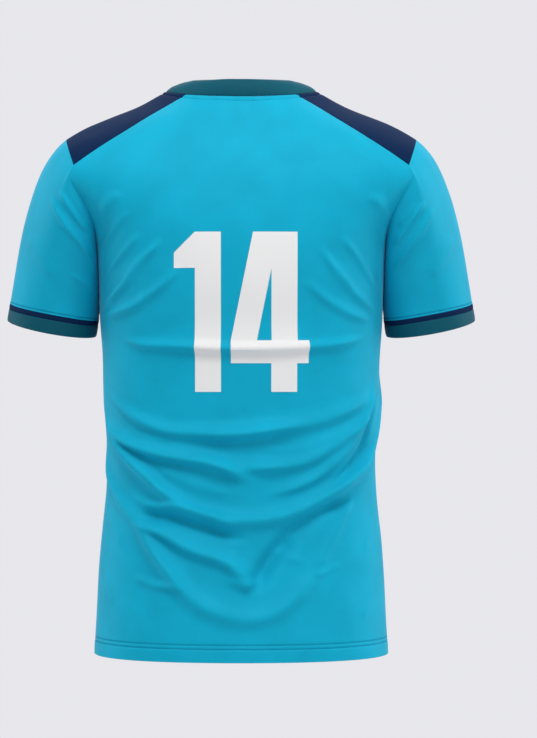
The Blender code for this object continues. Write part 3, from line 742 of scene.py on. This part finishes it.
def sleeve_points(lines, seam):
    """Rows of the sleeve from the armhole to its seam with the cuff, close together at the stitches."""
    close = [9.0, 7.0, 5.6, 4.8, 4.2, 3.7, 3.3, 2.9, 2.6, 2.3, 1.9, 1.5, 1.1, 0.7, 0.35, 0.0]
    near = np.array(close) * MM
    share = spaced(SLEEVE_CELLS - 3, 1.0, 1)[:-2]
    highest = np.array([lengths_along(line)[-1] for line in lines])
    first = seam + near[0]
    high = first + (highest - first) * (1 - share[:, None])
    above = np.concatenate([np.full(len(share), 1.0), near])
    return points_down(lines, np.concatenate([high, seam + near[:, None]])), above


def ring_normals(rows):
    """Outward directions on a tube of points, whose last column repeats its first."""
    down = np.gradient(rows, axis=0)
    around = np.roll(rows[:, :-1], -1, axis=1) - np.roll(rows[:, :-1], 1, axis=1)
    around = np.concatenate([around, around[:, :1]], axis=1)
    return unit(np.cross(around, down))


def sleeve_grid(rows, above, side):
    """The rows of a sleeve with its folds, which fade at the armhole, and the groove above the cuff."""
    normals = ring_normals(rows)
    lift = np.zeros(rows.shape[:2])
    for face, sign in (("back", -1), ("front", 1)):
        folds = SLEEVE_FOLDS.get(f"{side} {face}", ()) + SLEEVE_FOLDS[f"both {face}"]
        facing = np.clip(sign * normals[..., 1] * 2, 0, 1)
        lift += facing * stroke_lift(rows[..., 0], rows[..., 2], folds, MM)
    down = share_of_length(rows.mean(axis=1))[:, None]
    lift = lift + ripple(rows if side == "right" else rows * MIRROR + 1.0)
    lift *= np.clip(8 * down, 0, 1) * np.clip(8 * (1 - down), 0, 1)
    groove = -GROOVE_DEPTH * np.exp(-(((above - CUFF_LINE) / GROOVE_WIDTH) ** 2))
    lip = EDGE_PUFF * np.exp(-(((above - LIP_HEIGHT) / LIP_WIDTH) ** 2))
    return rows + normals * (lift + (groove + lip)[:, None])[..., None]


def puffed(rows, height):
    """A band of cloth that stands out by this much between its edges."""
    share = share_of_length(rows[:, 0])
    return rows + ring_normals(rows) * (height * (1 - (2 * share - 1) ** 4))[:, None, None]


def collar_rows():
    """Rows of the collar, from the neck seam up, going round by the wearer's right."""
    right = joined(
        neck_seam(YOKE_NECK_BACK * NECK_BACK_SHARES),
        neck_seam(np.linspace(YOKE_NECK_BACK, YOKE_NECK_FRONT, YOKE_NECK_CELLS + 1)),
        neck_seam(YOKE_NECK_FRONT + (180 - YOKE_NECK_FRONT) * NECK_FRONT_SHARES),
    )
    seam = torso_points(joined(right, mirrored(right, True)[::-1]))
    around = np.roll(seam[:-1], -1, axis=0) - np.roll(seam[:-1], 1, axis=0)
    shifts = range(-COLLAR_SMOOTHING, COLLAR_SMOOTHING + 1)
    around = sum(np.roll(around, shift, axis=0) for shift in shifts)
    around = np.concatenate([around, around[:1]])
    around[:, 2] = 0
    inward = unit(np.cross(UP, around))
    facing = inward[:, 1]
    back, side, front = (math.radians(lean) for lean in COLLAR_LEAN)
    lean = side + np.where(facing > 0, back - side, front - side) * facing**2
    rise = UP * np.cos(lean)[:, None] + inward * np.sin(lean)[:, None]
    outward = UP * np.sin(lean)[:, None] - inward * np.cos(lean)[:, None]
    share = np.linspace(0, 1, COLLAR_CELLS + 1)[:, None, None]
    bulge = COLLAR_BULGE * 4 * share * (1 - share)
    return seam + rise * COLLAR_HEIGHT * share + outward * bulge


# ------------ making the pieces


def drawn_back(rows, closed):
    """The grid with its edges drawn back a little from their seams."""
    made = rows.copy()
    made[0] += SEAM_GAP / 2 * unit(rows[1] - rows[0])
    made[-1] += SEAM_GAP / 2 * unit(rows[-2] - rows[-1])
    if not closed:
        made[:, 0] += SEAM_GAP / 2 * unit(rows[:, 1] - rows[:, 0])
        made[:, -1] += SEAM_GAP / 2 * unit(rows[:, -2] - rows[:, -1])
    return made


def add_object(name, data):
    made = bpy.data.objects.new(name, data)
    bpy.context.scene.collection.objects.link(made)
    return made


def mesh_object(name, vertices, faces, look):
    mesh = bpy.data.meshes.new(name)
    mesh.from_pydata(vertices, [], faces)
    mesh.materials.append(bpy.data.materials[look])
    mesh.polygons.foreach_set("use_smooth", [True] * len(mesh.polygons))
    mesh.update()
    return add_object(name, mesh)


def make_panel(name, rows, slot, closed=False):
    """A shell of cloth that replaces the solid of the same name, from rows of outward points."""
    rows = drawn_back(rows, closed)
    up_cells = len(rows) - 1
    across_cells = rows.shape[1] - 1
    across = lengths_along(rows[up_cells // 2])
    up = lengths_along(rows[:, across_cells // 2])
    columns = across_cells if closed else across_cells + 1
    grid = np.arange((up_cells + 1) * columns).reshape(up_cells + 1, columns)
    points = rows[:, :columns].reshape(-1, 3)
    next_column = np.roll(grid, -1, axis=1)[:, :across_cells]
    here = grid[:, :across_cells]
    faces = np.stack([here[:-1], next_column[:-1], next_column[1:], here[1:]], axis=-1)
    panel = mesh_object(f"{name}_cloth", points.tolist(), faces.reshape(-1, 4).tolist(), f"{slot} cloth")
    layer = panel.data.uv_layers.new(name="cloth")
    u = np.stack([across[:-1], across[1:], across[1:], across[:-1]], axis=-1)
    v = np.stack([up[:-1], up[:-1], up[1:], up[1:]], axis=-1)
    uv = np.empty((up_cells, across_cells, 4, 2))
    uv[..., 0] = u[None]
    uv[..., 1] = v[:, None]
    layer.data.foreach_set("uv", uv.ravel())
    solidify = panel.modifiers.new("wall", "SOLIDIFY")
    solidify.thickness = WALL
    solidify.offset = -1.0
    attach(panel, "root")
    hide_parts(name)
    return panel


def on_side(rows, side):
    """A panel made as if on the wearer's right, put on its own side, still facing outward."""
    return rows if side == "right" else rows[:, ::-1] * MIRROR


def thread(line, lengths, start):
    """Points of one stitch that starts at this length along a line, ring by ring."""
    middle = points_at(start + RING_SHARES * STITCH_LENGTH, lengths, line)
    along = unit(middle[-1] - middle[0])
    side = unit(np.cross(along, ASKEW if abs(along[2]) < 0.9 else MIRROR))
    over = np.cross(along, side)
    points = []
    for centre, size in zip(middle, RING_SIZES):
        for turn in np.arange(THREAD_SIDES) * 2 * HALF_TURN / THREAD_SIDES:
            outward = math.cos(turn) * side + math.sin(turn) * over
            points.append((centre + THREAD_RADIUS * size * outward).tolist())
    return points


def stitches(name, line, look):
    """A row of short raised threads along a closed or open line of points."""
    lengths = lengths_along(line)
    count = int(lengths[-1] / (STITCH_LENGTH + STITCH_GAP))
    starts = np.arange(count) * lengths[-1] / count
    vertices = []
    faces = []
    for start in starts:
        first = len(vertices)
        vertices += thread(line, lengths, start)
        for ring in range(len(RING_SIZES) - 1):
            for i in range(THREAD_SIDES):
                a = first + ring * THREAD_SIDES + i
                b = first + ring * THREAD_SIDES + (i + 1) % THREAD_SIDES
                faces.append((a, b, b + THREAD_SIDES, a + THREAD_SIDES))
        last = len(vertices) - THREAD_SIDES
        faces.append([first + i for i in reversed(range(THREAD_SIDES))])
        faces.append([last + i for i in range(THREAD_SIDES)])
    made = mesh_object(name, vertices, faces, look)
    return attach(made, "root")


def digit_outlines():
    """Outlines of the digits 1 and 4, seen from behind, each as convex pieces that share corners. The
    corners are (across, height).
    """
    top = PRINT_TOP
    foot = PRINT_FOOT
    flag = -0.0803
    flag_top = -0.2035
    flag_foot = -0.2215
    one_right = -0.0243
    one_left = one_right - PRINT_STROKE
    bar_left = -0.0124
    bar_right = 0.0808
    bar_top = -0.3070
    bar_foot = -0.3350
    slant_top = 0.0140
    hole_left = 0.0186
    hole_top = -0.2220
    stem_left = 0.0360
    stem_right = stem_left + PRINT_STROKE
    one = [(one_left, foot), (one_right, foot), (one_right, top), (one_left, top), (one_left, flag_foot)]
    flag_piece = [(flag, flag_foot), (one_left, flag_foot), (one_left, top), (flag, flag_top)]
    inside = [(stem_left, hole_top), (stem_left, top)]
    slant = [(bar_left, bar_top), (hole_left, bar_top), *inside, (slant_top, top)]
    stem = [(stem_left, bar_top), (stem_right, bar_top), (stem_right, top), *reversed(inside)]
    under_bar = [(across, bar_foot) for across in (bar_left, stem_left, stem_right, bar_right)]
    over_bar = [(across, bar_top) for across in (bar_right, stem_right, stem_left, hole_left, bar_left)]
    leg = [(stem_left, foot), (stem_right, foot), (stem_right, bar_foot), (stem_left, bar_foot)]
    return one, flag_piece, slant, stem, under_bar + over_bar, leg


def make_print():
    """The number on the back, a thin film that follows the cloth."""
    bm = bmesh.new()
    for outline in digit_outlines():
        bm.faces.new([bm.verts.new((x, 0, z)) for x, z in outline])
    bmesh.ops.remove_doubles(bm, verts=bm.verts, dist=1e-5)
    for axis, low, high in ((0, -PRINT_REACH, PRINT_REACH), (2, PRINT_FOOT, PRINT_TOP)):
        direction = Vector(np.eye(3)[axis])
        for cut in np.arange(low + PRINT_CELL, high, PRINT_CELL):
            place = direction * cut
            everything = bm.verts[:] + bm.edges[:] + bm.faces[:]
            bmesh.ops.bisect_plane(bm, geom=everything, plane_co=place, plane_no=direction, dist=1e-6)
    bmesh.ops.recalc_face_normals(bm, faces=bm.faces)
    if sum(face.normal.y * face.calc_area() for face in bm.faces) > 0:
        bmesh.ops.reverse_faces(bm, faces=bm.faces)
    flat = np.array([vert.co for vert in bm.verts])
    places = place_at(np.abs(flat[:, 0]), flat[:, 2], front=False)
    places[:, 0] *= np.sign(flat[:, 0])
    points = torso_points(places, PRINT_LIFT)
    for vert, point in zip(bm.verts, points):
        vert.co = point
    for face in bm.faces:
        face.smooth = True
    for edge in bm.edges:
        edge.smooth = not edge.is_boundary
    mesh = bpy.data.meshes.new("number_print")
    bm.to_mesh(mesh)
    bm.free()
    mesh.materials.append(bpy.data.materials["white print"])
    film = add_object("number_print", mesh)
    solidify = film.modifiers.new("film", "SOLIDIFY")
    solidify.thickness = PRINT_THICKNESS
    solidify.offset = -1.0
    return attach(film, "root")


def neck_distances(points):
    """How far each of these points is from the neck seam."""
    half = torso_points(neck_seam(np.linspace(0, 180, 500)))
    seam = np.concatenate([half, half * MIRROR])
    apart = np.full(points.shape[:-1], 1.0)
    near = (np.abs(points[..., 0]) < NECK_REACH) & (points[..., 2] > -NECK_REACH)
    apart[near] = np.array([np.linalg.norm(seam - point, axis=-1).min() for point in points[near]])
    return apart


def groove_neck(places, points, apart):
    """The panel's points with the groove of the neck's stitches pressed in, in a slightly raised edge."""
    dip = np.exp(-(((apart - NECK_LINE) / GROOVE_WIDTH) ** 2))
    puff = EDGE_PUFF * np.exp(-(((apart - NECK_LIP) / NECK_LIP_WIDTH) ** 2)) * (apart > 1e-5)
    puff = puff * np.clip(apart / WALL, 0, 1)
    return moved_out(points, places, puff - GROOVE_DEPTH * dip)


def line_at(points, apart, wanted):
    """The line across a panel at this distance from the seam that its last row lies nearest to."""
    line = []
    for column in range(points.shape[1]):
        away = np.minimum.accumulate(apart[:, column])[::-1]
        if away[0] < wanted:
            line.append(points_at(wanted, away, points[::-1, column]))
    return np.array(line)


def groove_hem(places, points):
    """The panel's points with the two grooves of the hem's stitches pressed in."""
    above = places[..., 1] - hem_height(places[..., 0])
    dip = sum(np.exp(-(((above - line) / GROOVE_WIDTH) ** 2)) for line in HEM_LINES)
    puff = BAND_PUFF * np.clip(above / HEM_LINES[0], 0, 1) * (above < HEM_LINES[0] * 1.001)
    puff = puff * (1 - np.clip(above / HEM_LINES[0], 0, 1) ** 6)
    return moved_out(points, places, puff - GROOVE_DEPTH * dip)


def set_inputs(node, values):
    for socket, value in values.items():
        node.inputs[socket].default_value = value


def make_material(name, weave):
    """Matt polyester. Cloth has fine loops in rows and columns, and a faint unevenness of colour."""
    material = bpy.data.materials.new(name)
    material.use_nodes = True
    nodes = material.node_tree.nodes
    links = material.node_tree.links
    shader = nodes["Principled BSDF"]
    looks = {"Base Color": COLOURS[name], "Roughness": ROUGHNESS, "Sheen Roughness": SHEEN_ROUGHNESS}
    looks["Specular IOR Level"] = DARK_GLOSS if name == "navy cloth" else GLOSS
    looks["Sheen Weight"] = DARK_SHEEN if name == "navy cloth" else SHEEN
    set_inputs(shader, looks)
    if not weave:
        return
    where = nodes.new("ShaderNodeUVMap")
    where.uv_map = "cloth"
    heights = []
    for direction in ("X", "Y"):
        loops = nodes.new("ShaderNodeTexWave")
        loops.bands_direction = direction
        set_inputs(loops, {"Scale": LOOP_WAVES / LOOP_SIZE, "Distortion": LOOP_WAVER, "Detail": 1.0})
        links.new(where.outputs["UV"], loops.inputs["Vector"])
        heights.append(loops.outputs["Fac"])
    knit = nodes.new("ShaderNodeMath")
    knit.operation = "MULTIPLY"
    links.new(heights[0], knit.inputs[0])
    links.new(heights[1], knit.inputs[1])
    bump = nodes.new("ShaderNodeBump")
    set_inputs(bump, {"Strength": KNIT_STRENGTH, "Distance": KNIT_DEPTH})
    links.new(knit.outputs["Value"], bump.inputs["Height"])
    links.new(bump.outputs["Normal"], shader.inputs["Normal"])

    patches = nodes.new("ShaderNodeTexNoise")
    set_inputs(patches, {"Scale": PATCH_SCALE, "Detail": PATCH_DETAIL})
    links.new(where.outputs["UV"], patches.inputs["Vector"])
    shades = nodes.new("ShaderNodeValToRGB")
    for end, place, share in zip(shades.color_ramp.elements, PATCH_ENDS, PATCH_SHADES):
        end.position = place
        end.color = [channel * share for channel in COLOURS[name][:3]] + [1.0]
    links.new(patches.outputs["Fac"], shades.inputs["Fac"])
    links.new(shades.outputs["Color"], shader.inputs["Base Color"])


# ------------ the jersey


def make_jersey():
    """All the pieces of the jersey. The cloth ones come back by the names of their solids."""
    for name in COLOURS:
        make_material(name, weave=name.endswith("cloth"))

    sheets = {}
    for face in ("back", "front"):
        places = body_panel_places(face == "front")
        points = torso_points(places)
        apart = neck_distances(points)
        points = groove_neck(places, groove_hem(places, points), apart)
        name = f"{face}_panel"
        sheets[name] = make_panel(name, points, "cyan")
        stitches(f"neck_stitches_{face}", line_at(points, apart, NECK_LINE), "cyan thread")
    collar = puffed(collar_rows(), BAND_PUFF)
    sheets["collar"] = make_panel("collar", collar, "teal", closed=True)
    for side in ("right", "left"):
        places = yoke_places()
        yoke = seen_on_right(places, side)
        apart = neck_distances(yoke)
        yoke = on_side(groove_neck(places, yoke, apart), side)
        name = f"shoulder_panel_{side}"
        sheets[name] = make_panel(name, yoke, "navy")
        apart = apart if side == "right" else apart[:, ::-1]
        stitches(f"neck_stitches_{side}", line_at(yoke, apart, NECK_LINE), "navy thread")
        lines, band = sleeve_lines(side)
        seam = band + CUFF_STRIPE
        rows, above = sleeve_points(lines, seam)
        sleeve = on_side(sleeve_grid(rows, above, side), side)
        name = f"sleeve_{side}"
        sheets[name] = make_panel(name, sleeve, "cyan", closed=True)
        for part, foot, height, cells, puff, slot in (
            ("cuff_stripe", band, CUFF_STRIPE, STRIPE_CELLS, EDGE_PUFF, "navy"),
            ("cuff_band", 0, band, BAND_CELLS, BAND_PUFF, "teal"),
        ):
            rows = points_down(lines, foot + height * np.linspace(1, 0, cells + 1)[:, None])
            name = f"{part}_{side}"
            sheets[name] = make_panel(name, on_side(puffed(rows, puff), side), slot, closed=True)
        ring = points_down(lines, (seam + CUFF_LINE)[None])[0]
        stitches(f"cuff_stitches_{side}", ring if side == "right" else ring * MIRROR, "cyan thread")

    turns = np.linspace(0, 2 * HALF_TURN, HEM_CELLS + 1)
    for number, line in enumerate(HEM_LINES):
        places = np.stack([turns, hem_height(turns) + line], axis=-1)
        stitches(f"hem_stitches_{number + 1}", torso_points(places, HEM_STITCH_LIFT), "cyan thread")
    make_print()
    return sheets


# ------------ floor, light and camera


def add_lamp(row):
    light = bpy.data.lights.new(row.name, "AREA")
    light.shape = "RECTANGLE"
    light.size = row.across
    light.size_y = row.up
    light.energy = row.watts
    lamp = add_object(row.name, light)
    lamp.location = row.place
    aim = Vector(row.aim) - Vector(row.place)
    lamp.rotation_euler = aim.to_track_quat("-Z", "Y").to_euler()
    lamp.visible_camera = False


def make_stage():
    """A plain pale floor that glows evenly, the pale surroundings and the lamps."""
    middle = (0, 0, FLOOR_HEIGHT)
    bpy.ops.mesh.primitive_circle_add(vertices=96, radius=FLOOR_RADIUS, fill_type="NGON", location=middle)
    floor = bpy.context.object
    floor.name = "floor"
    material = bpy.data.materials.new("pale floor")
    material.use_nodes = True
    nodes = material.node_tree.nodes
    nodes.remove(nodes["Principled BSDF"])
    pale = nodes.new("ShaderNodeEmission")
    pale.inputs["Color"].default_value = BACKDROP
    material.node_tree.links.new(pale.outputs["Emission"], nodes["Material Output"].inputs["Surface"])
    floor.data.materials.append(material)

    world = bpy.data.worlds.new("studio")
    bpy.context.scene.world = world
    world.use_nodes = True
    nodes = world.node_tree.nodes
    links = world.node_tree.links
    nodes.clear()
    output = nodes.new("ShaderNodeOutputWorld")
    mix = nodes.new("ShaderNodeMixShader")
    ray = nodes.new("ShaderNodeLightPath")
    seen = nodes.new("ShaderNodeBackground")
    seen.inputs["Color"].default_value = BACKDROP
    lit = nodes.new("ShaderNodeBackground")
    set_inputs(lit, {"Color": AMBIENT_COLOUR, "Strength": AMBIENT})
    links.new(ray.outputs["Is Camera Ray"], mix.inputs["Fac"])
    links.new(lit.outputs["Background"], mix.inputs[1])
    links.new(seen.outputs["Background"], mix.inputs[2])
    links.new(mix.outputs["Shader"], output.inputs["Surface"])

    for row in LAMPS:
        add_lamp(row)


def make_camera():
    camera = bpy.data.cameras.new("camera")
    camera.sensor_width = CAMERA_SENSOR
    camera.lens = CAMERA_LENS
    camera.shift_x = CAMERA_SHIFT
    made = add_object("camera", camera)
    made.location = CAMERA_PLACE
    made.rotation_euler = (QUARTER, 0, 0)
    bpy.context.scene.camera = made


def main():
    for old in list(bpy.data.objects):
        bpy.data.objects.remove(old, do_unlink=True)
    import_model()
    make_jersey()
    make_stage()
    make_camera()
    bpy.context.scene.view_settings.view_transform = "Standard"


main()
